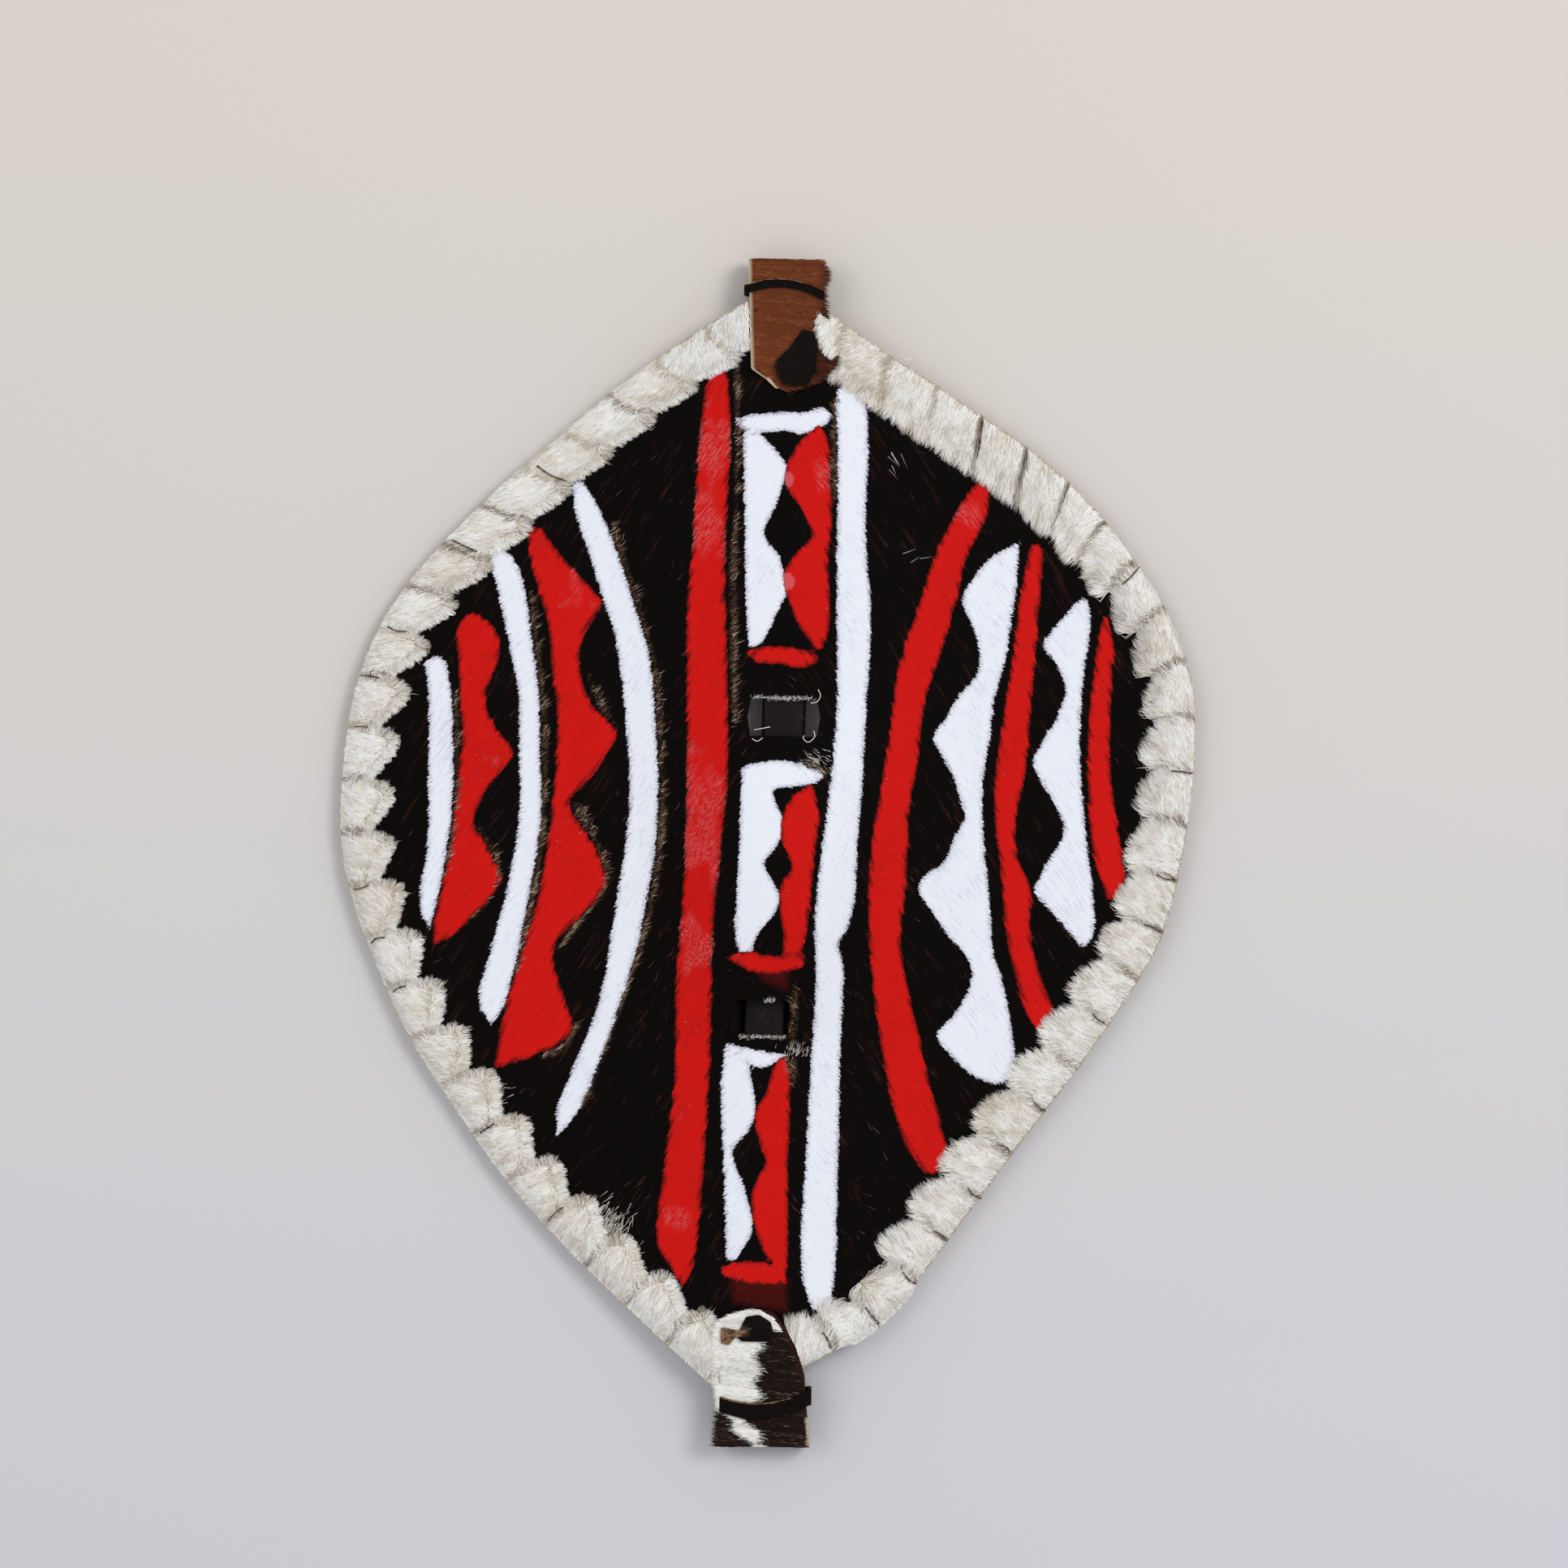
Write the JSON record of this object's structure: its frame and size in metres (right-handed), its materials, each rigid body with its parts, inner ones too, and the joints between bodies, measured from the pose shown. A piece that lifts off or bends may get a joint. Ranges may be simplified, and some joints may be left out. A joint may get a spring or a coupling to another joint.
{
  "type": "hide shield",
  "caption": "Pointed oval shield of painted hair-on cowhide stretched over a wooden stave, its rim laced with a furred hide strip and its ends capped with tied flaps.",
  "frame": {"origin": "middle of the bounding box at its underside, on the ground that the shield lies on", "axes": "+Y along the stave towards the top end, +Z out of the painted face, +X to the viewer's right when the face is seen with the top end up"},
  "size_m": [0.433, 0.6, 0.0346],
  "materials": {
    "black_hide": "short glossy black-brown hair, painted white and red in bands and scallops",
    "pale_hair_hide": "hide strip with long off-white hair",
    "brown_hair_hide": "hide with sleek chestnut hair",
    "pied_hair_hide": "hide with white hair and dark brown patches",
    "dark_wood": "hand-cut wood, darkened and smooth from handling",
    "dark_thong": "cut hide thong, dark with a pale cut edge"
  },
  "bodies": {
    "root": {"hide_panel": "black_hide", "rim_binding_left": "pale_hair_hide", "rim_binding_right": "pale_hair_hide", "stave": "dark_wood", "top_flap": "brown_hair_hide", "top_tie": "dark_thong", "top_thong": "dark_thong", "bottom_flap": "pied_hair_hide", "bottom_tie": "dark_thong", "bottom_thong": "dark_thong"}
  },
  "joints": []
}
